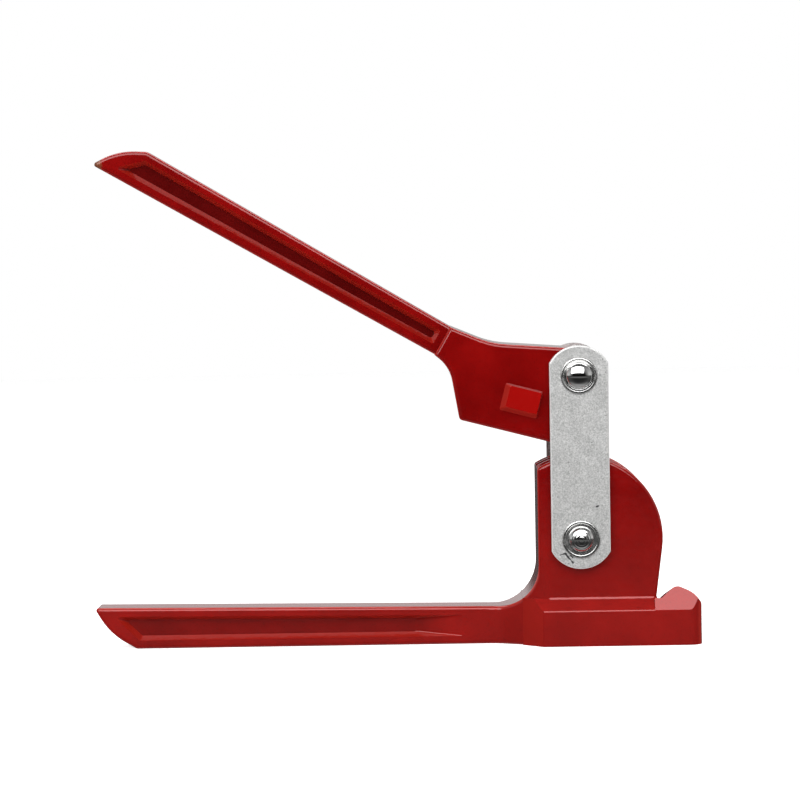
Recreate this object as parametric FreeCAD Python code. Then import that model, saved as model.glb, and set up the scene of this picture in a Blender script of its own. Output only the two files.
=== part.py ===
# Hand tube bender for three tube sizes, all sizes in millimetres.
# Frame: the origin lies on the bench straight below the lower pivot, halfway through the
# tool's thickness. +Z is up, +X points from the handles to the foot's hook, and the side
# with the spun rivet heads towards the user faces -Y.
import FreeCAD, Part
import math
import os

Vector = FreeCAD.Vector

# ---------------------------------------------------------------- driving dimensions

# Tubes that the tool bends, from the front groove to the rear one: 3/8, 5/16 and 1/4 inch.
tube_diameters = (9.53, 7.94, 6.35)
tube_clearance = 0.10        # radial room for a tube in its groove
passage_clearance = 0.30     # radial room for a tube in its passage through the foot
groove_lip = 0.50            # rounding of each groove's two lips
outer_land = 2.00            # flat rim outside the first and the last groove
inner_land = 1.20            # flat rim between two grooves
rim_radius = 28.30           # the bending die's rims
tube_nip = 3.15              # gap between the die's rims and the shoe's face

# Pivots
pivot_height = 37.00
pivot_spacing = 56.10
sleeve_diameter = 9.50
running_clearance = 0.05     # radial, between a sleeve and the casting that turns on it
shank_diameter = 6.40
shank_clearance = 0.02       # radial, between a rivet and the pieces it holds together
side_clearance = 0.30        # between each link plate and the castings

# Lower casting: its handle
lower_reach = 169.10         # from the pivots' plane to the handle's tip
lower_heel_setback = 14.60   # of the end of the handle's underside behind the tip
handle_width = 14.00
lower_end_depth = 14.40
lower_root_depth = 13.00
neck_radius = 14.50
end_bulge = 1.30             # how far the slanted end swells past a straight cut
edge_round = 1.20
tip_round = 0.90
swell_round = 24.00
heel_round = 2.00

# Lower casting: its bending die
die_left = 14.60             # from the pivots' plane to the die's flat left face
die_corner_angle = 118.0     # where the die's round rims end, from +X towards +Z
flank_draft = 7.50           # degrees by which the die's right flank runs in towards the foot
flare_length = 16.00         # over which the handle widens to the die's thickness
flare_start_radius = 12.00
flare_end_radius = 10.00

# Lower casting: its foot and hook
foot_overhang = 3.10         # beyond each face of the die
foot_left = 13.20
foot_right = 41.30
foot_side_height = 12.10
shoulder_height = 16.40
foot_corner_radius = 4.50
foot_toe_radius = 2.50
foot_flare = 7.00            # how far the foot's slanted left faces run back along the handle
foot_flare_half = 11.80      # half the foot's width where those faces start
foot_edge_round = 0.90
shoulder_fillet = 1.60       # between the shoulder and the die's face
shoulder_corner_radius = 1.00
bed_height = 11.00           # of the foot's top under the hook

# Lower casting: the hook's wall, whose heights are those of its front face
hook_lean = 2.40             # how far the hook's front and rear walls lean in at its crest
valley_height = 16.00
valley_offset = -2.50        # from the tubes' centre line to the foot of the hook's slope
valley_radius = 1.00
crest_offset = 2.50          # from the tubes' centre line to the hook's crest
crest_height = 20.60
crest_radius = 3.00
hook_back = 38.20            # where the hook's back bends down
hook_back_height = 17.90
hook_back_radius = 8.00
hook_end_height = 14.20
hook_fall = 0.17             # how much the hook drops for each millimetre towards the rear

# Upper casting, in its own directions: its shoe's face is level and its pivot is at zero
shoe_length = 35.90
shoe_tail = 3.50             # how far the shoe reaches past the pivot
shoe_corner_radius = 1.50
eye_radius = 9.10            # metal round the upper pivot
cheek_top_slope = 10.50      # degrees
cheek_top_x = -31.60
cheek_top_radius = 32.00
cheek_corner = (-43.55, -7.91)
cheek_corner_radius = 12.50
junction_x = -48.10          # where the bar leaves the cheek
bar_slope = 15.60            # degrees, of the bar's middle line
bar_root_depth = 11.00
bar_end_depth = 13.40
bar_middle_rise = 0.20       # of the bar's middle line above the pivot, at the junction
bar_length = 135.50          # from the junction to the tip's end of the bar's lower edge
bar_heel_setback = 14.60     # of the upper edge's end behind the tip, along the bar
bar_run_on = 6.00            # how far the bar goes on inside the cheek
rest_tilt = 14.80            # degrees that the shoe is opened from its working place

# Stop lug on each cheek
lug_length = 13.20
lug_height = 9.60
lug_middle_drop = 13.20
lug_draft = 0.50             # of the two sides that face the link and the eye
lug_slope = 1.70             # of the other two sides
lug_corner_radius = 0.70
lug_stop_gap = 0.20          # left between the lug and the link's edge when it stops the shoe

# Side recesses of both handles
recess_depth = 3.20
recess_rim = 2.90
recess_end_rim = 2.90
recess_draft = 1.40
recess_corner_radius = 0.80
lower_recess_end = 41.00     # from the pivots' plane
lower_recess_ramp = 16.00    # over which the lower recess runs out
upper_recess_root_rim = 2.20

# Link plates, rivets and their washers
link_width = 20.20
link_thickness = 2.80
link_overhang = 10.30        # beyond each pivot's middle
link_end_slack = 1.40        # by which the ends' radius passes half the link's width
link_edge_round = 0.60
upper_head_diameter = 10.20
upper_head_height = 2.90
lower_head_diameter = 8.70
lower_head_height = 2.60
upper_washer_diameter = 12.70
lower_washer_diameter = 13.10
washer_thickness = 0.80
washer_bevel = 0.35

# ---------------------------------------------------------------- sizes that follow

tube_centre_radius = rim_radius + tube_nip / 2
shoe_reach = pivot_spacing - rim_radius - tube_nip
groove_radii = [diameter / 2 + tube_clearance for diameter in tube_diameters]


def groove_half_mouth(radius):
    """Half the width of a groove at its rim, its two rounded lips included."""
    return math.sqrt((radius + groove_lip) ** 2 - (tube_nip / 2 + groove_lip) ** 2)


groove_mouths = [2 * groove_half_mouth(radius) for radius in groove_radii]
die_width = sum(groove_mouths) + 2 * outer_land + (len(groove_mouths) - 1) * inner_land
die_half = die_width / 2
foot_half = die_half + foot_overhang
handle_half = handle_width / 2
link_inner_face = die_half + side_clearance
link_outer_face = link_inner_face + link_thickness
lower_pivot = Vector(0, 0, pivot_height)
upper_pivot = Vector(0, 0, pivot_height + pivot_spacing)
past_all = 60.0              # longer than any thickness that a cutter goes through
trim_margin = 5.0            # how far a blank passes the outline that trims it


def groove_middles():
    """The Y of each groove's middle, front to rear."""
    middles = []
    edge = -die_half + outer_land
    for mouth in groove_mouths:
        middles.append(edge + mouth / 2)
        edge += mouth + inner_land
    return middles


# ---------------------------------------------------------------- outlines and prisms

def side_view(a, b):
    return Vector(a, 0, b)


def end_view(a, b):
    return Vector(0, a, b)


def plan_view(a, b):
    return Vector(a, b, 0)


def rounded_wire(corners, view):
    """A closed wire through corners (a, b, radius), each rounded by an arc of its radius."""
    spans = []
    for index, (a, b, radius) in enumerate(corners):
        here = Vector(a, b, 0)
        before = Vector(*corners[index - 1][:2], 0) - here
        after = Vector(*corners[(index + 1) % len(corners)][:2], 0) - here
        if radius == 0:
            spans.append((here, None, here))
            continue
        before.normalize()
        after.normalize()
        half_angle = before.getAngle(after) / 2
        setback = radius / math.tan(half_angle)
        inward = before + after
        inward.normalize()
        middle = here + inward * (radius / math.sin(half_angle) - radius)
        spans.append((here + before * setback, middle, here + after * setback))
    edges = []
    for index, (start, middle, end) in enumerate(spans):
        if middle is not None:
            arc = Part.Arc(view(start.x, start.y), view(middle.x, middle.y), view(end.x, end.y))
            edges.append(arc.toShape())
        following = spans[(index + 1) % len(spans)][0]
        edges.append(Part.LineSegment(view(end.x, end.y), view(following.x, following.y)).toShape())
    return Part.Wire(edges)


def side_prism(corners, half_width):
    """A plate of the given side outline, halved by the plane Y = 0."""
    face = Part.Face(rounded_wire(corners, side_view))
    face.translate(Vector(0, -half_width, 0))
    return face.extrude(Vector(0, 2 * half_width, 0))


def plan_prism(corners, bottom, top):
    face = Part.Face(rounded_wire(corners, plan_view))
    face.translate(Vector(0, 0, bottom))
    return face.extrude(Vector(0, 0, top - bottom))


def mirrored_plan(corners):
    """Closes a front half outline (a, b, radius) with its mirror image across Y = 0."""
    return corners + [(a, -b, radius) for a, b, radius in reversed(corners)]


def inset(points, distances):
    """Moves each side of a clockwise polygon inwards; distances[i] is for the side from
    points[i] to the next one."""
    moved = []
    for index, (a, b) in enumerate(points):
        sides = []
        for start in (index - 1, index):
            first = points[start]
            second = points[(start + 1) % len(points)]
            length = math.hypot(second[0] - first[0], second[1] - first[1])
            normal = ((second[1] - first[1]) / length, -(second[0] - first[0]) / length)
            offset = normal[0] * first[0] + normal[1] * first[1] + distances[start]
            sides.append((normal, offset))
        (n1, d1), (n2, d2) = sides
        determinant = n1[0] * n2[1] - n1[1] * n2[0]
        moved.append(((d1 * n2[1] - d2 * n1[1]) / determinant,
                      (n1[0] * d2 - n2[0] * d1) / determinant))
    return moved


def slanted_end(tip, heel):
    """The three corners (a, b) of a handle's end: tip, swollen middle and heel."""
    chord = (heel[0] - tip[0], heel[1] - tip[1])
    length = math.hypot(*chord)
    outward = (-abs(chord[1]) / length, math.copysign(chord[0] / length, chord[1]))
    middle = ((tip[0] + heel[0]) / 2 + outward[0] * 2 * end_bulge,
              (tip[1] + heel[1]) / 2 + outward[1] * 2 * end_bulge)
    return tip, middle, heel


def recess_cutter(outline, draft_distances):
    """The front recess of a handle: drafted walls between its outline and its floor."""
    floor = inset(outline, draft_distances)
    wires = []
    for step in (-1, 1):
        points = []
        for (a, b), (floor_a, floor_b) in zip(outline, floor):
            points.append((a + step * (floor_a - a), b + step * (floor_b - b),
                           recess_corner_radius))
        wire = rounded_wire(points, side_view)
        wire.translate(Vector(0, -handle_half + step * recess_depth, 0))
        wires.append(wire)
    return Part.makeLoft(wires, True, True)


def both_sides(solid):
    return solid.fuse(solid.mirror(Vector(0, 0, 0), Vector(0, 1, 0)))


def edges_where(solid, test):
    """The solid's edges whose middle point passes the test."""
    found = []
    for edge in solid.Edges:
        if test(edge, edge.valueAt((edge.FirstParameter + edge.LastParameter) / 2)):
            found.append(edge)
    return found


def border_edges(solid):
    """Edges between a side of the solid and its outline, each with its middle point."""
    found = []
    for edge in solid.Edges:
        middle = edge.valueAt((edge.FirstParameter + edge.LastParameter) / 2)
        leans = []
        for face in solid.ancestorsOfType(edge, Part.Face):
            u, v = face.Surface.parameter(middle)
            leans.append(abs(face.normalAt(u, v).y))
        if len(leans) == 2 and min(leans) < 0.01 and max(leans) > 0.3:
            found.append((edge, middle))
    return found


# ---------------------------------------------------------------- grooves

def groove_face(radius, middle, rim):
    """Section of a groove, in the plane of X (away from the pivot) and Y: a round bottom,
    two rounded lips that end on the rim at X = rim, and an open mouth beyond it."""
    centre = rim + tube_nip / 2
    lip_x = rim - groove_lip
    half_mouth = groove_half_mouth(radius)
    reach = radius + groove_lip
    touch_x = centre + (lip_x - centre) * radius / reach
    touch_y = half_mouth * radius / reach
    lip_turn = math.atan2(half_mouth, centre - lip_x) / 2
    beyond = centre + radius
    edges = []
    for side in (1, -1):
        lip_middle_x = lip_x + groove_lip * math.cos(lip_turn)
        lip_middle_y = half_mouth - groove_lip * math.sin(lip_turn)
        lip = Part.Arc(Vector(rim, middle + side * half_mouth, 0),
                       Vector(lip_middle_x, middle + side * lip_middle_y, 0),
                       Vector(touch_x, middle + side * touch_y, 0))
        edges.append(lip.toShape())
        edges.append(Part.LineSegment(Vector(beyond, middle + side * half_mouth, 0),
                                      Vector(rim, middle + side * half_mouth, 0)).toShape())
    bottom = Part.Arc(Vector(touch_x, middle + touch_y, 0),
                      Vector(centre - radius, middle, 0),
                      Vector(touch_x, middle - touch_y, 0))
    edges.append(bottom.toShape())
    edges.append(Part.LineSegment(Vector(beyond, middle + half_mouth, 0),
                                  Vector(beyond, middle - half_mouth, 0)).toShape())
    return Part.Face(Part.Wire(Part.__sortEdges__(edges)))


def die_groove(radius, middle):
    """Cutter of one groove round the die, with its straight run down to the hook and its
    round passage through the foot."""
    face = groove_face(radius, middle, rim_radius)
    face.translate(lower_pivot)
    sweep = 180 - die_corner_angle / 2
    turned = face.revolve(lower_pivot, Vector(0, -1, 0), sweep)
    mouth_height = shoulder_height
    run = face.extrude(Vector(0, 0, mouth_height - pivot_height))
    passage = Part.makeCylinder(radius - tube_clearance + passage_clearance,
                                mouth_height + trim_margin,
                                Vector(tube_centre_radius, middle, -trim_margin),
                                Vector(0, 0, 1))
    return turned.fuse(run).fuse(passage)


def shoe_groove(radius, middle):
    """Cutter of one straight groove along the shoe's level face."""
    face = groove_face(radius, middle, shoe_reach)
    face.rotate(Vector(0, 0, 0), Vector(0, 1, 0), 90)
    face.translate(Vector(shoe_tail + trim_margin, 0, 0))
    return face.extrude(Vector(-(shoe_length + shoe_tail + 2 * trim_margin), 0, 0))


# ---------------------------------------------------------------- lower casting

def lower_top(x):
    """Height of the lower handle's top edge at x, extended in a straight line."""
    slope = (lower_end_depth - lower_root_depth) / (lower_reach - die_left - neck_radius)
    return lower_root_depth + slope * (-x - die_left - neck_radius)


def lower_core():
    """Handle, neck and die: one side outline, as wide as its plan allows."""
    tip, swell, heel = slanted_end((-lower_reach, lower_end_depth), (lower_heel_setback - lower_reach, 0))
    end_turn = math.radians(90 + die_corner_angle)
    start_turn = math.radians(-flank_draft)
    half_sweep = (math.radians(die_corner_angle) - start_turn) / 2
    meeting_turn = math.radians(die_corner_angle) - half_sweep
    meeting_radius = rim_radius / math.cos(half_sweep)
    meeting = (meeting_radius * math.cos(meeting_turn),
               pivot_height + meeting_radius * math.sin(meeting_turn))
    rim_end = (rim_radius * math.cos(math.radians(die_corner_angle)),
               pivot_height + rim_radius * math.sin(math.radians(die_corner_angle)))
    to_left_face = (rim_end[0] + die_left) / -math.cos(end_turn)
    top_left = rim_end[1] + to_left_face * math.sin(end_turn)
    flank_start = (rim_radius * math.cos(start_turn),
                   pivot_height + rim_radius * math.sin(start_turn))
    flank_foot = flank_start[0] - math.tan(math.radians(flank_draft)) * flank_start[1]
    outline = [(*tip, tip_round),
               (-die_left, lower_top(-die_left), neck_radius),
               (-die_left, top_left, edge_round),
               (*meeting, rim_radius),
               (flank_foot, 0, 0),
               (*heel, heel_round),
               (*swell, swell_round)]
    flare_end = -foot_left
    plan = mirrored_plan([(-lower_reach - trim_margin, -handle_half, 0),
                          (flare_end - flare_length, -handle_half, flare_start_radius),
                          (flare_end, -die_half, flare_end_radius),
                          (foot_right + trim_margin, -die_half, 0)])
    core = side_prism(outline, die_half).common(
        plan_prism(plan, -trim_margin, pivot_height + rim_radius + trim_margin))
    rounded = []
    for edge, middle in border_edges(core):
        if middle.x < -foot_left or middle.z > shoulder_height:
            rounded.append(edge)
    return core.makeFillet(edge_round, rounded)


def foot_beam(top_half, top):
    """A beam along X with the foot's upright sides, rounded into flanks that lean in."""
    section = [(-foot_half, 0, 0), (-foot_half, foot_side_height, foot_edge_round),
               (-top_half, top, 0), (top_half, top, 0),
               (foot_half, foot_side_height, foot_edge_round), (foot_half, 0, 0)]
    face = Part.Face(rounded_wire(section, end_view))
    face.translate(Vector(-lower_reach, 0, 0))
    return face.extrude(Vector(2 * lower_reach, 0, 0))


def lower_foot():
    """The foot: its plan and its section with sloped shoulders, lowered under the hook."""
    plan = mirrored_plan([(-foot_left - foot_flare, -foot_flare_half, 0),
                          (-foot_left, -foot_half, shoulder_corner_radius),
                          (foot_right, -foot_half, foot_corner_radius)])
    flank_x = tube_centre_radius - groove_radii[0] + shoulder_corner_radius
    profile = [(-lower_reach, 0, 0),
               (-lower_reach, past_all, 0),
               (flank_x, past_all, 0),
               (flank_x, bed_height, 0),
               (foot_right, bed_height, 0),
               (foot_right, 0, foot_toe_radius)]
    beam = foot_beam(die_half, shoulder_height)
    return beam.common(plan_prism(plan, -trim_margin, shoulder_height + trim_margin)).common(
        side_prism(profile, past_all))


def hook():
    """The hook: a wall in front of the largest tube, which falls towards the smallest one,
    with its slope to the die, its crest and its rounded back."""
    plan = mirrored_plan([(-foot_left, -foot_half, 0),
                          (foot_right, -foot_half, foot_corner_radius)])
    inside_x = tube_centre_radius - groove_radii[0]
    drop = hook_fall * hook_lean
    profile = [(inside_x, -bed_height, 0),
               (inside_x, valley_height + drop, 0),
               (tube_centre_radius + valley_offset, valley_height + drop, valley_radius),
               (tube_centre_radius + crest_offset, crest_height + drop, crest_radius),
               (hook_back, hook_back_height + drop, hook_back_radius),
               (foot_right, hook_end_height + drop, crest_radius / 2),
               (foot_right, -bed_height, 0)]
    face = Part.Face(rounded_wire(profile, side_view))
    face.translate(Vector(0, -foot_half, 0))
    ridge = face.extrude(Vector(0, 2 * foot_half, -2 * foot_half * hook_fall))
    beam = foot_beam(foot_half - hook_lean, crest_height + drop)
    return ridge.common(plan_prism(plan, 0, crest_height + trim_margin)).common(beam)


def lower_recess():
    """Front recess of the lower handle, which runs out towards the neck."""
    right = -lower_recess_end
    border = [(-lower_reach, lower_end_depth), (right, lower_top(right)), (right, 0),
              (lower_heel_setback - lower_reach, 0)]
    outline = inset(border, [recess_rim, 0, recess_rim, recess_end_rim])
    draft = [recess_draft, lower_recess_ramp, recess_draft, recess_draft]
    return recess_cutter(outline, draft)


def lower_body():
    body = lower_core().fuse(lower_foot()).fuse(hook()).removeSplitter()
    inner_corners = edges_where(body, lambda edge, middle: (
        abs(middle.z - shoulder_height) < 0.01 and abs(abs(middle.y) - die_half) < 0.01
        and edge.Length > die_left))
    body = body.makeFillet(shoulder_fillet, inner_corners)
    body = body.cut(both_sides(lower_recess()))
    for radius, middle in zip(groove_radii, groove_middles()):
        body = body.cut(die_groove(radius, middle))
    bore = Part.makeCylinder(sleeve_diameter / 2 + running_clearance, 2 * past_all,
                             lower_pivot - Vector(0, past_all, 0), Vector(0, 1, 0))
    return body.cut(bore)


# ---------------------------------------------------------------- upper casting

def along_bar(distance, rise):
    """A point of the bar's own directions: distance from the junction towards the tip, and
    rise above the bar's middle line."""
    turn = math.radians(bar_slope)
    return (junction_x - distance * math.cos(turn) + rise * math.sin(turn),
            bar_middle_rise + distance * math.sin(turn) + rise * math.cos(turn))


def bar_half_depth(distance):
    grown = (bar_end_depth - bar_root_depth) * distance / bar_length
    return (bar_root_depth + grown) / 2


def bar_corners(start):
    """Lower root, tip, heel and upper root corners of the bar, begun at a distance."""
    heel_distance = bar_length - bar_heel_setback
    return [along_bar(start, -bar_half_depth(start)),
            along_bar(bar_length, -bar_half_depth(bar_length)),
            along_bar(heel_distance, bar_half_depth(heel_distance)),
            along_bar(start, bar_half_depth(start))]


def cheek():
    """The thick head of the upper casting: shoe, eye and cheeks."""
    top_z = eye_radius / math.cos(math.radians(cheek_top_slope))
    slope = math.tan(math.radians(cheek_top_slope))
    lower_root = along_bar(0, -bar_half_depth(0))
    upper_root = along_bar(0, bar_half_depth(0))
    profile = [(*lower_root, 0),
               (*upper_root, 0),
               (cheek_top_x, top_z + slope * cheek_top_x, cheek_top_radius),
               (eye_radius, top_z + slope * eye_radius, eye_radius),
               (eye_radius, -eye_radius, eye_radius),
               (shoe_tail, -shoe_reach, shoe_corner_radius),
               (-shoe_length, -shoe_reach, shoe_corner_radius),
               (*cheek_corner, cheek_corner_radius)]
    head = side_prism(profile, die_half)
    rounded = [edge for edge, middle in border_edges(head)]
    return head.makeFillet(edge_round, rounded)


def bar():
    """The upper handle's bar, with its slanted end, run on into the cheek."""
    root_low, tip, heel, root_high = bar_corners(-bar_run_on)
    tip, swell, heel = slanted_end(tip, heel)
    profile = [(*root_low, 0), (*tip, tip_round), (*swell, swell_round), (*heel, heel_round),
               (*root_high, 0)]
    solid = side_prism(profile, handle_half)
    rounded = []
    for edge, middle in border_edges(solid):
        if middle.x < junction_x + bar_run_on:
            rounded.append(edge)
    return solid.makeFillet(edge_round, rounded)


def upper_recess():
    root_low, tip, heel, root_high = bar_corners(0)
    outline = inset([root_low, tip, heel, root_high],
                    [recess_rim, recess_end_rim, recess_rim, upper_recess_root_rim])
    return recess_cutter(outline, [recess_draft] * 4)


def stop_lug():
    """The front cheek's raised lug, whose end meets the link's edge at the end of travel."""
    right = -(link_width / 2 + lug_stop_gap)
    left = right - lug_length
    low = -lug_middle_drop - lug_height / 2
    high = -lug_middle_drop + lug_height / 2
    wires = []
    for draft, slope, y in ((0, 0, -die_half), (lug_draft, lug_slope, -link_outer_face)):
        corners = [(left + slope, low + slope), (left + slope, high - draft),
                   (right - draft, high - draft), (right - draft, low + slope)]
        wire = rounded_wire([(a, b, lug_corner_radius) for a, b in corners], side_view)
        wire.translate(Vector(0, y, 0))
        wires.append(wire)
    return Part.makeLoft(wires, True, True)


def upper_handle():
    body = cheek().fuse(bar()).removeSplitter()
    body = body.cut(both_sides(upper_recess()))
    for radius, middle in zip(groove_radii, groove_middles()):
        body = body.cut(shoe_groove(radius, middle))
    body = body.fuse(both_sides(stop_lug()))
    bore = Part.makeCylinder(sleeve_diameter / 2 + running_clearance, 2 * past_all,
                             Vector(0, -past_all, 0), Vector(0, 1, 0))
    body = body.cut(bore)
    body.rotate(Vector(0, 0, 0), Vector(0, 1, 0), rest_tilt)
    body.translate(upper_pivot)
    return body


# ---------------------------------------------------------------- link, rivets, washers

def link_plate(side):
    """A link plate; side is -1 for the front one and 1 for the rear one."""
    half = link_width / 2
    end_radius = half + link_end_slack
    body_half = pivot_spacing / 2
    end = body_half + link_overhang
    shoulder = end - end_radius + math.sqrt(end_radius ** 2 - half ** 2)
    edges = []
    for turn in (1, -1):
        arc = Part.Arc(Vector(-half, 0, turn * shoulder), Vector(0, 0, turn * end),
                       Vector(half, 0, turn * shoulder))
        edges.append(arc.toShape())
        edges.append(Part.LineSegment(Vector(turn * half, 0, -shoulder),
                                      Vector(turn * half, 0, shoulder)).toShape())
    plate = Part.Face(Part.Wire(Part.__sortEdges__(edges))).extrude(
        Vector(0, side * link_thickness, 0))
    outer = edges_where(plate, lambda edge, middle: abs(middle.y - side * link_thickness) < 0.01)
    plate = plate.makeFillet(link_edge_round, outer)
    plate.translate(Vector(0, side * link_inner_face, pivot_height + body_half))
    for pivot in (lower_pivot, upper_pivot):
        hole = Part.makeCylinder(shank_diameter / 2 + shank_clearance, 2 * past_all,
                                 pivot - Vector(0, past_all, 0), Vector(0, 1, 0))
        plate = plate.cut(hole)
    return plate


def pivot_sleeve(pivot):
    """The sleeve that keeps the plates apart and that a casting turns on."""
    start = pivot - Vector(0, link_inner_face, 0)
    outside = Part.makeCylinder(sleeve_diameter / 2, 2 * link_inner_face, start,
                                Vector(0, 1, 0))
    inside = Part.makeCylinder(shank_diameter / 2 + shank_clearance, 2 * link_inner_face, start,
                               Vector(0, 1, 0))
    return outside.cut(inside)


def washer(pivot, diameter, side):
    """A bevelled washer under a rivet head."""
    inner = shank_diameter / 2 + shank_clearance
    outer = diameter / 2
    section = Part.makePolygon([Vector(inner, 0, 0), Vector(outer, 0, 0),
                                Vector(outer, side * (washer_thickness - washer_bevel), 0),
                                Vector(outer - washer_bevel, side * washer_thickness, 0),
                                Vector(inner, side * washer_thickness, 0),
                                Vector(inner, 0, 0)])
    ring = Part.Face(section).revolve(Vector(0, 0, 0), Vector(0, 1, 0), 360)
    ring.translate(pivot + Vector(0, side * link_outer_face, 0))
    return ring


def rivet(pivot, head_diameter, head_height):
    """A rivet through both plates, with a domed head on each end."""
    head_seat = link_outer_face + washer_thickness
    body = Part.makeCylinder(shank_diameter / 2, 2 * head_seat, Vector(0, -head_seat, 0),
                             Vector(0, 1, 0))
    rim = head_height / 4
    for side in (-1, 1):
        edges = [Part.LineSegment(Vector(0, 0, 0), Vector(head_diameter / 2, 0, 0)).toShape(),
                 Part.LineSegment(Vector(head_diameter / 2, 0, 0),
                                  Vector(head_diameter / 2, side * rim, 0)).toShape()]
        rise = head_height - rim
        dome = (head_diameter ** 2 / 4 + rise ** 2) / (2 * rise)
        half_turn = math.asin(head_diameter / 2 / dome) / 2
        middle = Vector(dome * math.sin(half_turn),
                        side * (head_height - dome * (1 - math.cos(half_turn))), 0)
        edges.append(Part.Arc(Vector(head_diameter / 2, side * rim, 0), middle,
                              Vector(0, side * head_height, 0)).toShape())
        edges.append(Part.LineSegment(Vector(0, side * head_height, 0),
                                      Vector(0, 0, 0)).toShape())
        head = Part.Face(Part.Wire(edges)).revolve(Vector(0, 0, 0), Vector(0, 1, 0), 360)
        head.translate(Vector(0, side * head_seat, 0))
        body = body.fuse(head)
    body.translate(pivot)
    return body


# ---------------------------------------------------------------- the pieces

pieces = {
    "lower_body": lower_body(),
    "upper_handle": upper_handle(),
    "front_link": link_plate(-1),
    "rear_link": link_plate(1),
    "lower_pivot_sleeve": pivot_sleeve(lower_pivot),
    "upper_pivot_sleeve": pivot_sleeve(upper_pivot),
    "lower_rivet": rivet(lower_pivot, lower_head_diameter, lower_head_height),
    "upper_rivet": rivet(upper_pivot, upper_head_diameter, upper_head_height),
    "lower_front_washer": washer(lower_pivot, lower_washer_diameter, -1),
    "lower_rear_washer": washer(lower_pivot, lower_washer_diameter, 1),
    "upper_front_washer": washer(upper_pivot, upper_washer_diameter, -1),
    "upper_rear_washer": washer(upper_pivot, upper_washer_diameter, 1),
}

os.makedirs("parts", exist_ok=True)
for name, shape in pieces.items():
    shape.exportStep("parts/" + name + ".step")
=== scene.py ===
import math

import bmesh
import bpy
from mathutils import Matrix, Vector


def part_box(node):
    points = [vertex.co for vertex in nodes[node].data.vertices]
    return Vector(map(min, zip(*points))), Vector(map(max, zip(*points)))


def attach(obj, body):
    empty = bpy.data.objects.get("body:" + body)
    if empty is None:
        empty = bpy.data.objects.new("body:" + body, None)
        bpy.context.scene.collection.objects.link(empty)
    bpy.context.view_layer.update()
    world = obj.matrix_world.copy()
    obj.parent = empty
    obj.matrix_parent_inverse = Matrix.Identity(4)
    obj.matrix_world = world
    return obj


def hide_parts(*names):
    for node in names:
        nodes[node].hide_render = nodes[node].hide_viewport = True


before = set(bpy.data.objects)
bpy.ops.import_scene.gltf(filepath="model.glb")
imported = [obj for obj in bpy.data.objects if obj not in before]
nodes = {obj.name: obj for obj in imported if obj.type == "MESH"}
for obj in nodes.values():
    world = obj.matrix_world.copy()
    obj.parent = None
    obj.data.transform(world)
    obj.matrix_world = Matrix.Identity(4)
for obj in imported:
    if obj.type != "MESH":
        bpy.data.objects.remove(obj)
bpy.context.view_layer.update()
scene = bpy.context.scene

# ------------------------------------------------------------ the studio
# A pale bench in a white room, under a wide softbox above the lens and a strip overhead. To
# reflections the room is dark in front, so that the enamel stays deep, and bright towards the
# sides just above the bench. The lens looks down a little, across the tool's length.

scene.view_settings.view_transform = "Standard"

camera_place = Vector((-0.0496, -1.0, 0.1310))
aim = Vector((-0.0615, 0.0, 0.0849))
view_width = 0.2788
camera_roll = -0.017

camera_data = bpy.data.cameras.new("studio_lens")
camera_data.sensor_width = 36.0
camera_data.lens = camera_data.sensor_width * (camera_place - aim).length / view_width
camera = bpy.data.objects.new("studio_camera", camera_data)
scene.collection.objects.link(camera)
facing = (aim - camera_place).to_track_quat("-Z", "Y").to_matrix().to_4x4()
camera.matrix_world = (Matrix.Translation(camera_place) @ facing
                       @ Matrix.Rotation(camera_roll, 4, "Z"))
scene.camera = camera


def softbox(name, place, target, width, height, power):
    """A rectangular area light at place, facing target."""
    data = bpy.data.lights.new(name, "AREA")
    data.shape = "RECTANGLE"
    data.size = width
    data.size_y = height
    data.energy = power
    light = bpy.data.objects.new(name, data)
    facing_down = (Vector(target) - Vector(place)).to_track_quat("-Z", "Y")
    light.matrix_world = Matrix.Translation(place) @ facing_down.to_matrix().to_4x4()
    scene.collection.objects.link(light)


tool_middle = (-0.05, 0.0, 0.05)
softbox("front_softbox", (-0.25, -1.25, 0.95), tool_middle, 2.2, 1.2, 30.0)
softbox("overhead_strip", (-0.05, 0.30, 1.0), tool_middle, 1.6, 0.25, 6.0)


def add_node(tree, kind, settings=None, **inputs):
    """A shader node with its settings, and its inputs given as values or as sockets."""
    node = tree.nodes.new("ShaderNode" + kind)
    for name, value in (settings or {}).items():
        setattr(node, name, value)
    for name, value in inputs.items():
        key = int(name[1:]) if name[0] == "_" else name.replace("_", " ")
        if isinstance(value, bpy.types.NodeSocket):
            tree.links.new(value, node.inputs[key])
        else:
            node.inputs[key].default_value = value
    return node


def mixed(tree, factor, first, second, blend="MIX"):
    """Two colours mixed by a factor, or blended by another rule."""
    node = add_node(tree, "Mix", {"data_type": "RGBA", "blend_type": blend},
                    Factor=factor, A=first, B=second)
    return node.outputs["Result"]


def ranged(tree, value, start, end, low=0.0, high=1.0):
    """A value that goes from low to high as another one goes from start to end."""
    node = add_node(tree, "MapRange", Value=value, From_Min=start, From_Max=end,
                    To_Min=low, To_Max=high)
    return node.outputs["Result"]


def colour_ramp(tree, factor, stops):
    """A colour ramp on a factor, with (position, grey or colour) stops."""
    ramp = add_node(tree, "ValToRGB", Fac=factor)
    elements = ramp.color_ramp.elements
    while len(elements) < len(stops):
        elements.new(1.0)
    for element, (position, colour) in zip(elements, stops):
        element.position = position
        element.color = (*colour, 1.0) if isinstance(colour, tuple) else (colour,) * 3 + (1.0,)
    return ramp.outputs["Color"]


def elevation_stop(degrees):
    """Where a ramp on the sine of the elevation, from -1 to 1, has this elevation."""
    return 0.5 + 0.5 * math.sin(math.radians(degrees))


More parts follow.
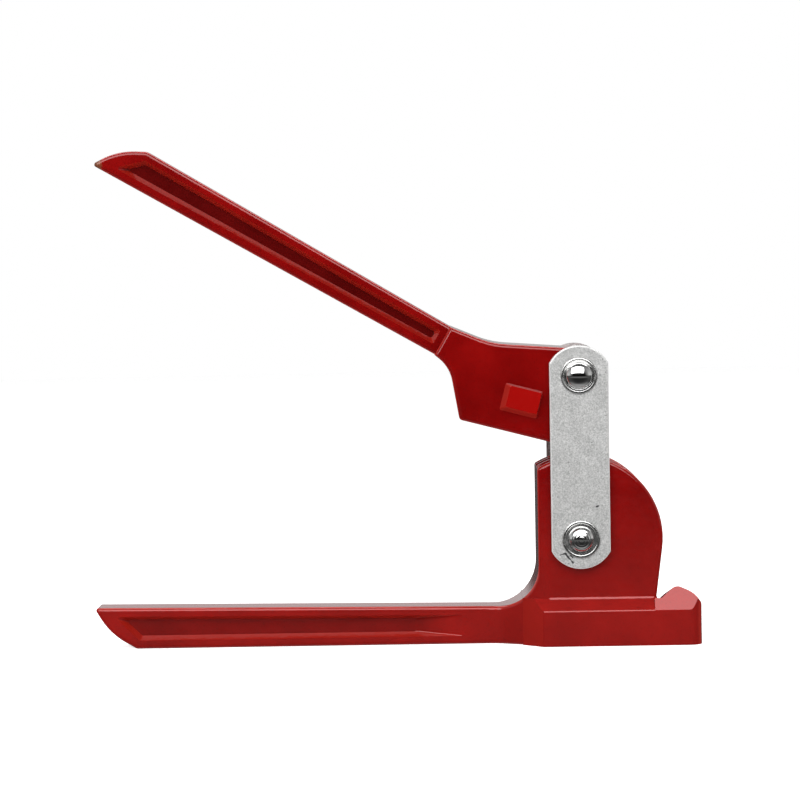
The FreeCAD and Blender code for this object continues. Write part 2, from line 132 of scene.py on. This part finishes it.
world = bpy.data.worlds.new("studio_room")
scene.world = world
world.use_nodes = True
room = world.node_tree
direction = add_node(room, "TexCoord").outputs["Generated"]
height = add_node(room, "SeparateXYZ", Vector=direction).outputs["Z"]
position = ranged(room, height, -1.0, 1.0)
# Both ramps give a grey for each elevation. Under the horizon they stand in for the bench,
# which reflections don't see.
dark_front = colour_ramp(room, position, [
    (elevation_stop(-90), 0.60), (elevation_stop(-60), 0.50), (elevation_stop(-45), 0.02),
    (elevation_stop(-14), 0.02), (elevation_stop(-9), 0.16), (elevation_stop(-6), 0.12),
    (elevation_stop(-3.5), 0.003), (elevation_stop(6), 0.003), (elevation_stop(14), 0.10),
    (elevation_stop(60), 0.08), (elevation_stop(90), 0.20)])
room_sides = colour_ramp(room, position, [
    (elevation_stop(-60), 0.30), (elevation_stop(-30), 0.05), (elevation_stop(-2), 0.08),
    (elevation_stop(2), 0.60), (elevation_stop(12), 0.55), (elevation_stop(60), 0.10)])
frontness = add_node(room, "VectorMath", {"operation": "DOT_PRODUCT"}, _0=direction,
                     _1=(0.0, -1.0, 0.0))
# The front reaches to about 32 degrees from straight ahead, and fades out at 63 degrees.
in_front = ranged(room, frontness.outputs["Value"], 0.45, 0.85)
reflected = mixed(room, in_front, room_sides, dark_front)
seen = add_node(room, "LightPath").outputs["Is Camera Ray"]
shown = mixed(room, seen, reflected, (1.0, 1.0, 1.0, 1.0))
room.links.new(shown, room.nodes["Background"].inputs["Color"])


def new_piece(name, builder):
    """An object at the origin from a bmesh, with its normals outwards."""
    data = bpy.data.meshes.new(name)
    bmesh.ops.recalc_face_normals(builder, faces=builder.faces)
    builder.to_mesh(data)
    builder.free()
    piece = bpy.data.objects.new(name, data)
    scene.collection.objects.link(piece)
    return piece


def new_material(name):
    """A material with its node tree and its shader."""
    material = bpy.data.materials.new(name)
    material.use_nodes = True
    return material, material.node_tree, material.node_tree.nodes["Principled BSDF"]


# The lens sees the bench as all but white, and the tool doesn't mirror it.
bench_radius = 2.6
bench_glow_to_lens = 0.75
bench_builder = bmesh.new()
bmesh.ops.create_circle(bench_builder, cap_ends=True, segments=96, radius=bench_radius)
bench = new_piece("bench_top", bench_builder)
bench_paint, bench_tree, bench_shader = new_material("pale_bench")
bench_shader.inputs["Base Color"].default_value = (0.90, 0.90, 0.90, 1.0)
bench_shader.inputs["Roughness"].default_value = 0.7
bench_shader.inputs["Specular IOR Level"].default_value = 0.1
bench_shader.inputs["Emission Color"].default_value = (1.0, 1.0, 1.0, 1.0)
bench_seen = add_node(bench_tree, "LightPath").outputs["Is Camera Ray"]
bench_glow = ranged(bench_tree, bench_seen, 0.0, 1.0, 0.0, bench_glow_to_lens)
bench_tree.links.new(bench_glow, bench_shader.inputs["Emission Strength"])
bench.data.materials.append(bench_paint)
bench.visible_glossy = False

# ------------------------------------------------------------ the two red castings
# The lower body with its die and hook, and the upper handle with its shoe, are die-cast
# aluminium dipped in a deep red baking enamel. It lies a little uneven over the cast skin,
# has fine specks in it, and has rubbed off at the very tips of the handles. Its colour also
# carries painted shade in the recesses, and painted light on the edges, the upper lug and the
# foot.

# Distances from the plane through the middle of the tool's thickness. The handles' faces stand
# at 7.0 mm and their recesses' floors at 3.8 mm, the die's faces at 15.4 mm and the stop lugs'
# at 18.5 mm.
over_recess_floor = 0.0064
near_recess_floor = 0.0042
over_die_face = 0.0168
near_lug_face = 0.0180

# Along the tool, where the handles' recesses begin, and where the painted shade on their
# floors is full.
recess_begins = -0.044
recess_shade_full = -0.050

# Heights over the bench between which a painted light, for the light that the pale bench
# throws back, makes the enamel lighter towards the foot.
painted_bounce_begins = 0.060
painted_bounce_full = 0.012

# Distances from a handle's tip, for the bare patch and its ragged edge.
bare_reach = 0.0022
worn_reach = 0.0036
raggedness = 0.0016


def tip_of(name):
    """The leftmost point of a casting, which is its handle's tip."""
    return min((vertex.co for vertex in nodes[name].data.vertices), key=lambda co: co.x)


def from_middle_plane(tree, vector):
    """How far a place or a normal reaches from the plane through the tool's thickness."""
    parts = add_node(tree, "SeparateXYZ", Vector=vector)
    return add_node(tree, "Math", {"operation": "ABSOLUTE"}, _0=parts.outputs["Y"]).outputs[0]


def product(tree, first, second):
    node = add_node(tree, "Math", {"operation": "MULTIPLY"}, _0=first, _1=second)
    return node.outputs["Value"]


def recess_shade_mask(tree, place, normal):
    """1 on the floors of the handles' recesses, where a painted shade darkens the enamel, and
    0 outside.
    """
    along = add_node(tree, "SeparateXYZ", Vector=place).outputs["X"]
    deep = ranged(tree, from_middle_plane(tree, place), over_recess_floor, near_recess_floor)
    flat = ranged(tree, from_middle_plane(tree, normal), 0.25, 0.6)
    on_handle = ranged(tree, along, recess_begins, recess_shade_full)
    return product(tree, product(tree, deep, flat), on_handle)


def rounding_mask(tree, normal, starts, full):
    """1 on the rounded edges and drafted walls of a flat piece, and 0 on its faces and its
    border. It rises as the sideways part of the normal falls from starts to full."""
    sideways = from_middle_plane(tree, normal)
    off_face = ranged(tree, sideways, starts, full)
    off_border = ranged(tree, sideways, 0.02, 0.12)
    return product(tree, off_face, off_border)


def red_enamel(name, tip, recess_shade, lug_highlight):
    """Enamel with painted shade in the recesses, painted highlights on edges and lug, painted
    light low down, and wear at a tip.
    """
    material, tree, shader = new_material(name)
    coordinates = add_node(tree, "TexCoord")
    place = coordinates.outputs["Object"]

    cloud = add_node(tree, "TexNoise", Vector=place, Scale=55.0, Detail=4.0, Roughness=0.6)
    red = colour_ramp(tree, cloud.outputs["Fac"], [
        (0.30, (0.180, 0.0006, 0.0006)), (0.52, (0.225, 0.0008, 0.0007)),
        (0.75, (0.275, 0.0016, 0.0012))])
    grain = add_node(tree, "TexNoise", Vector=place, Scale=1500.0, Detail=2.0)
    specks = colour_ramp(tree, grain.outputs["Fac"], [(0.30, 0.72), (0.42, 1.0)])
    speckled = mixed(tree, 0.8, red, specks, "MULTIPLY")

    # Painted light: the enamel is lighter low down, for the light that the bench throws back.
    level = add_node(tree, "SeparateXYZ", Vector=place).outputs["Z"]
    painted_bounce = ranged(tree, level, painted_bounce_begins, painted_bounce_full)
    bounce_lit = mixed(tree, painted_bounce, speckled, (0.085, 0.0060, 0.0040, 1.0), "ADD")
    # Painted shade: the recesses' floors are darker, the upper handle's the most.
    painted_recess_shade = recess_shade_mask(tree, place, coordinates.outputs["Normal"])
    shaded = mixed(tree, painted_recess_shade, bounce_lit, recess_shade, "MULTIPLY")

    # Painted highlight: the stop lug's raised face is lighter.
    lug_lit = ranged(tree, from_middle_plane(tree, place), over_die_face, near_lug_face,
                    0.0, lug_highlight)
    brightened = mixed(tree, lug_lit, shaded, (0.42, 0.003, 0.002, 1.0))
    # Painted highlight: the rounded edges and drafted walls are a brighter, more orange red.
    painted_edge_light = rounding_mask(tree, coordinates.outputs["Normal"], 0.78, 0.60)
    edged = mixed(tree, product(tree, painted_edge_light, 0.8), brightened, (0.50, 0.022, 0.012, 1.0))

    from_tip = add_node(tree, "VectorMath", {"operation": "DISTANCE"}, _0=place, _1=tip)
    ragged = add_node(tree, "TexNoise", Vector=place, Scale=900.0, Detail=3.0)
    spread = ranged(tree, ragged.outputs["Fac"], 0.0, 1.0, -raggedness, raggedness)
    wear_line = add_node(tree, "Math", {"operation": "ADD"}, _0=from_tip.outputs["Value"],
                         _1=spread)
    worn = ranged(tree, wear_line.outputs["Value"], worn_reach, bare_reach)
    coloured = mixed(tree, worn, edged, (0.20, 0.065, 0.030, 1.0))
    tree.links.new(coloured, shader.inputs["Base Color"])

    gloss = ranged(tree, cloud.outputs["Fac"], 0.3, 0.7, 0.30, 0.40)
    tree.links.new(gloss, shader.inputs["Roughness"])
    shader.inputs["Metallic"].default_value = 0.3
    shader.inputs["Specular IOR Level"].default_value = 0.05
    shader.inputs["Coat Weight"].default_value = 1.0
    shader.inputs["Coat IOR"].default_value = 1.5
    shader.inputs["Coat Roughness"].default_value = 0.07

    peel = add_node(tree, "TexNoise", Vector=place, Scale=420.0, Detail=2.5, Roughness=0.55)
    peel_bump = add_node(tree, "Bump", Height=peel.outputs["Fac"], Strength=0.10,
                         Distance=0.0006)
    skin_bump = add_node(tree, "Bump", Height=grain.outputs["Fac"], Strength=0.08,
                         Distance=0.0002, Normal=peel_bump.outputs["Normal"])
    tree.links.new(skin_bump.outputs["Normal"], shader.inputs["Normal"])
    tree.links.new(peel_bump.outputs["Normal"], shader.inputs["Coat Normal"])
    return material


# For each casting, the painted shade in its recesses and the strength of the painted highlight
# on its stop lug.
for casting, recess_shade, lug_highlight in (
        ("lower_body", (0.75, 0.75, 0.75, 1.0), 0.0),
        ("upper_handle", (0.45, 0.45, 0.45, 1.0), 0.8)):
    enamel = red_enamel("red_enamel_" + casting, tip_of(casting), recess_shade, lug_highlight)
    nodes[casting].data.materials.clear()
    nodes[casting].data.materials.append(enamel)

# ------------------------------------------------------------ the two link plates
# Blanked from mild steel and zinc plated in a barrel, so that they are matt and finely
# mottled, with dark specks. The punch has rolled their outer edges round, and a painted
# highlight makes them near white. The front plate has a scratched patch under its lower rivet.


def pivot_middle(rivet):
    """The middle of a rivet, which is its pivot's."""
    low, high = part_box(rivet)
    return (low + high) / 2


def zinc_plating(name, scratches):
    """Barrel zinc, with dark scratches given as (start, end, half width) in metres."""
    material, tree, shader = new_material(name)
    coordinates = add_node(tree, "TexCoord")
    place = coordinates.outputs["Object"]
    mottle = add_node(tree, "TexNoise", Vector=place, Scale=2200.0, Detail=3.0, Roughness=0.6)
    cloud = add_node(tree, "TexNoise", Vector=place, Scale=160.0, Detail=3.0)
    tone = colour_ramp(tree, mottle.outputs["Fac"], [
        (0.32, (0.36, 0.37, 0.36)), (0.5, (0.54, 0.54, 0.535)), (0.68, (0.70, 0.70, 0.69))])
    shade = colour_ramp(tree, cloud.outputs["Fac"], [(0.3, 0.86), (0.7, 1.0)])
    toned = mixed(tree, 1.0, tone, shade, "MULTIPLY")
    pits = add_node(tree, "TexVoronoi", Vector=place, Scale=330.0)
    pit = colour_ramp(tree, pits.outputs["Distance"], [(0.055, 0.25), (0.10, 1.0)])
    colour = mixed(tree, 0.7, toned, pit, "MULTIPLY")
    wander = add_node(tree, "TexNoise", Vector=place, Scale=700.0, Detail=2.0)
    for start, end, half_width in scratches:
        along = Vector(end) - Vector(start)
        offset = add_node(tree, "VectorMath", {"operation": "SUBTRACT"}, _0=place, _1=start)
        run = add_node(tree, "VectorMath", {"operation": "DOT_PRODUCT"}, _0=offset.outputs[0],
                       _1=along / along.length_squared)
        held = add_node(tree, "Clamp", Value=run.outputs["Value"])
        nearest = add_node(tree, "VectorMath", {"operation": "SCALE"}, _0=along,
                           Scale=held.outputs["Result"])
        away = add_node(tree, "VectorMath", {"operation": "DISTANCE"}, _0=offset.outputs[0],
                        _1=nearest.outputs[0])
        reach = ranged(tree, wander.outputs["Fac"], 0.3, 0.7, 0.3 * half_width,
                       1.7 * half_width)
        ratio = add_node(tree, "Math", {"operation": "DIVIDE"}, _0=away.outputs["Value"],
                         _1=reach)
        mark = ranged(tree, ratio.outputs["Value"], 1.3, 0.7)
        colour = mixed(tree, mark, colour, (0.035, 0.035, 0.038, 1.0))
    # Painted highlight: the rolled edges are near white, and smoother.
    rolled = rounding_mask(tree, coordinates.outputs["Normal"], 0.97, 0.80)
    painted_edge_highlight = mixed(tree, rolled, colour, (0.95, 0.95, 0.94, 1.0))
    tree.links.new(painted_edge_highlight, shader.inputs["Base Color"])
    shader.inputs["Metallic"].default_value = 0.4
    rough = ranged(tree, mottle.outputs["Fac"], 0.3, 0.7, 0.36, 0.52)
    smoothed = add_node(tree, "Mix", {"data_type": "FLOAT"}, Factor=rolled, A=rough, B=0.22)
    tree.links.new(smoothed.outputs["Result"], shader.inputs["Roughness"])
    bump = add_node(tree, "Bump", Height=mottle.outputs["Fac"], Strength=0.30,
                    Distance=0.00015)
    tree.links.new(bump.outputs["Normal"], shader.inputs["Normal"])
    return material


lower_pivot = pivot_middle("lower_rivet")
upper_pivot = pivot_middle("upper_rivet")
plate_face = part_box("front_link")[0].y


def on_plate(right, up):
    """A point of the front plate's face, from the lower rivet's middle."""
    return Vector((lower_pivot.x + right, plate_face, lower_pivot.z + up))


# The first four run together under the rivet, and the last is a lone speck above it.
scratch_strokes = [
    (on_plate(-0.0072, -0.0053), on_plate(-0.0055, -0.0049), 0.00022),
    (on_plate(-0.0055, -0.0049), on_plate(-0.0046, -0.0061), 0.00030),
    (on_plate(-0.0046, -0.0061), on_plate(-0.0029, -0.0081), 0.00024),
    (on_plate(-0.0036, -0.0056), on_plate(-0.0030, -0.0064), 0.00028),
    (on_plate(0.0056, 0.0112), on_plate(0.0060, 0.0113), 0.00030),
]
for plate, strokes in (("front_link", scratch_strokes), ("rear_link", [])):
    nodes[plate].data.materials.clear()
    nodes[plate].data.materials.append(zinc_plating("zinc_" + plate, strokes))

# ------------------------------------------------------------ rivets
# Bright steel rivets, spun over at both ends. The upper one ends in a smooth polished dome
# inside a thin lip, and the lower one in a smaller dome with the spinning tool's rings.


turning_steps = 96


def turned_piece(name, profile, middle):
    """A closed turned piece: its profile of (radius, distance towards the rear) points is
    spun about an axis along Y through its middle."""
    builder = bmesh.new()
    points = [builder.verts.new((middle.x + radius, middle.y + away, middle.z))
              for radius, away in profile]
    lines = [builder.edges.new(pair) for pair in zip(points, points[1:])]
    bmesh.ops.spin(builder, geom=points + lines, cent=middle, axis=(0.0, 1.0, 0.0),
                   dvec=(0.0, 0.0, 0.0), angle=2 * math.pi, steps=turning_steps,
                   use_merge=True)
    bmesh.ops.remove_doubles(builder, verts=builder.verts, dist=1e-7)
    piece = new_piece(name, builder)
    for face in piece.data.polygons:
        face.use_smooth = True
    piece.data.set_sharp_from_angle(angle=math.radians(38))
    return piece


def bright_steel(name, roughness, ring_spacing, ring_depth, ring_strength, middle, tone):
    """Bright steel with fine turning rings about the axis through its middle."""
    material, tree, shader = new_material(name)
    place = add_node(tree, "TexCoord").outputs["Object"]
    centred = add_node(tree, "Mapping", Vector=place, Location=-Vector(middle))
    flat = add_node(tree, "VectorMath", {"operation": "MULTIPLY"},
                    _0=centred.outputs["Vector"], _1=(1.0, 0.0, 1.0))
    radius = add_node(tree, "VectorMath", {"operation": "LENGTH"}, _0=flat.outputs[0])
    turns = add_node(tree, "Math", {"operation": "MULTIPLY"}, _0=radius.outputs["Value"],
                     _1=2 * math.pi / ring_spacing)
    rings = add_node(tree, "Math", {"operation": "SINE"}, _0=turns.outputs["Value"])
    smears = add_node(tree, "TexNoise", Vector=place, Scale=500.0, Detail=3.0)
    steel = colour_ramp(tree, smears.outputs["Fac"], [
        (0.35, tuple(0.86 * part for part in tone)), (0.65, tone)])
    tree.links.new(steel, shader.inputs["Base Color"])
    shader.inputs["Metallic"].default_value = 1.0
    rough = ranged(tree, smears.outputs["Fac"], 0.3, 0.7, 0.7 * roughness, 1.3 * roughness)
    tree.links.new(rough, shader.inputs["Roughness"])
    bump = add_node(tree, "Bump", Height=rings.outputs["Value"], Strength=ring_strength,
                    Distance=ring_depth)
    tree.links.new(bump.outputs["Normal"], shader.inputs["Normal"])
    return material


def dome(radius, start, rise, ripple=0.0, ripple_spacing=1.0, points=26):
    """A dome's (radius, height) points in millimetres, from its edge to its top. The ripple
    is the height of its turned rings."""
    made = []
    for index in range(points + 1):
        turn = math.pi / 2 * index / points
        here = radius * math.cos(turn)
        wave = ripple * math.cos(2 * math.pi * here / ripple_spacing)
        made.append((here, start + rise * math.sin(turn) + wave * math.cos(turn)))
    return made


def rivet_profile(seat, shank, head):
    """Both heads, given as (radius, height over the seat) from the seat to the top, and the
    shank between them."""
    rear = [(shank, seat)] + [(radius, seat + height) for radius, height in head]
    rear[-1] = (0.0, rear[-1][1])
    return [(radius, -away) for radius, away in reversed(rear)] + rear


millimetre = 0.001
shank_radius = 3.2 * millimetre
washer_top = 0.80
head_seat = -plate_face + washer_top * millimetre


def scaled(points):
    """Points in millimetres, given in metres."""
    return [(radius * millimetre, height * millimetre) for radius, height in points]


# (radius, height over the washer) in millimetres. The upper dome rises inside a thin lip, and
# the lower one from a small step.
upper_head = scaled([(5.10, 0.0), (5.10, 0.42), (5.02, 0.58), (4.86, 0.64), (4.70, 0.60),
                     (4.58, 0.50)] + dome(4.50, 0.50, 2.40))
lower_head = scaled([(4.35, 0.0), (4.35, 0.30)]
                    + dome(4.25, 0.38, 2.18, ripple=0.05, ripple_spacing=0.85, points=48))
for name, middle, head, roughness, ring_strength in (
        ("upper_rivet", upper_pivot, upper_head, 0.08, 0.05),
        ("lower_rivet", lower_pivot, lower_head, 0.13, 0.25)):
    rivet = turned_piece("spun_" + name, rivet_profile(head_seat, shank_radius, head), middle)
    rivet.data.materials.append(bright_steel(
        "bright_" + name, roughness, ring_spacing=0.00035, ring_depth=0.000004,
        ring_strength=ring_strength, middle=middle, tone=(0.86, 0.86, 0.85)))
    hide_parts(name)
    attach(rivet, "link")

# ------------------------------------------------------------ rivet washers
# A turned steel washer lies under each rivet head. It has a raised, rounded outer ring and
# a sunk ring beside the head.


def washer_profile(outer, head_radius):
    """A closed section, given in millimetres and made in metres as (radius, height over the
    plate) points. It runs from the hole's plate side round to it again."""
    bore = 3.22
    seat_edge = head_radius - 0.05
    sunk_start = head_radius + 0.12
    sunk_height = 0.34
    ring = outer - 1.15
    return scaled([(bore, 0.0), (bore, washer_top), (seat_edge, washer_top),
                   (sunk_start, sunk_height), (ring - 0.12, sunk_height), (ring, 0.62),
                   (ring + 0.14, 0.76), (ring + 0.32, washer_top), (outer - 0.45, washer_top),
                   (outer - 0.18, 0.70), (outer - 0.04, 0.48), (outer, 0.30), (outer, 0.0),
                   (bore, 0.0)])


for name, middle, outer, head_radius in (("upper", upper_pivot, 6.35, 5.10),
                                         ("lower", lower_pivot, 6.55, 4.35)):
    for end, side in (("front", -1), ("rear", 1)):
        node = "_".join((name, end, "washer"))
        section = [(radius, side * (height - plate_face))
                   for radius, height in washer_profile(outer, head_radius)]
        washer = turned_piece("turned_" + node, section, middle)
        washer.data.materials.append(bright_steel(
            "bright_" + node, roughness=0.24, ring_spacing=0.00022, ring_depth=0.000006,
            ring_strength=0.3, middle=middle, tone=(0.74, 0.74, 0.73)))
        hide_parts(node)
        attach(washer, "link")

# ------------------------------------------------------------ pivot sleeves
# Plain steel tubes between the plates, on which the castings turn. They are left as drawn,
# with a thin film of oil.


def oiled_steel():
    """Drawn steel, dark under a film that is thicker in some places than in others."""
    material, tree, shader = new_material("oiled_steel")
    place = add_node(tree, "TexCoord").outputs["Object"]
    film = add_node(tree, "TexNoise", Vector=place, Scale=300.0, Detail=3.0)
    steel = colour_ramp(tree, film.outputs["Fac"], [
        (0.35, (0.16, 0.15, 0.14)), (0.65, (0.30, 0.29, 0.28))])
    tree.links.new(steel, shader.inputs["Base Color"])
    shader.inputs["Metallic"].default_value = 1.0
    rough = ranged(tree, film.outputs["Fac"], 0.0, 1.0, 0.2, 0.4)
    tree.links.new(rough, shader.inputs["Roughness"])
    return material


sleeve_finish = oiled_steel()
for sleeve in ("lower_pivot_sleeve", "upper_pivot_sleeve"):
    nodes[sleeve].data.materials.clear()
    nodes[sleeve].data.materials.append(sleeve_finish)
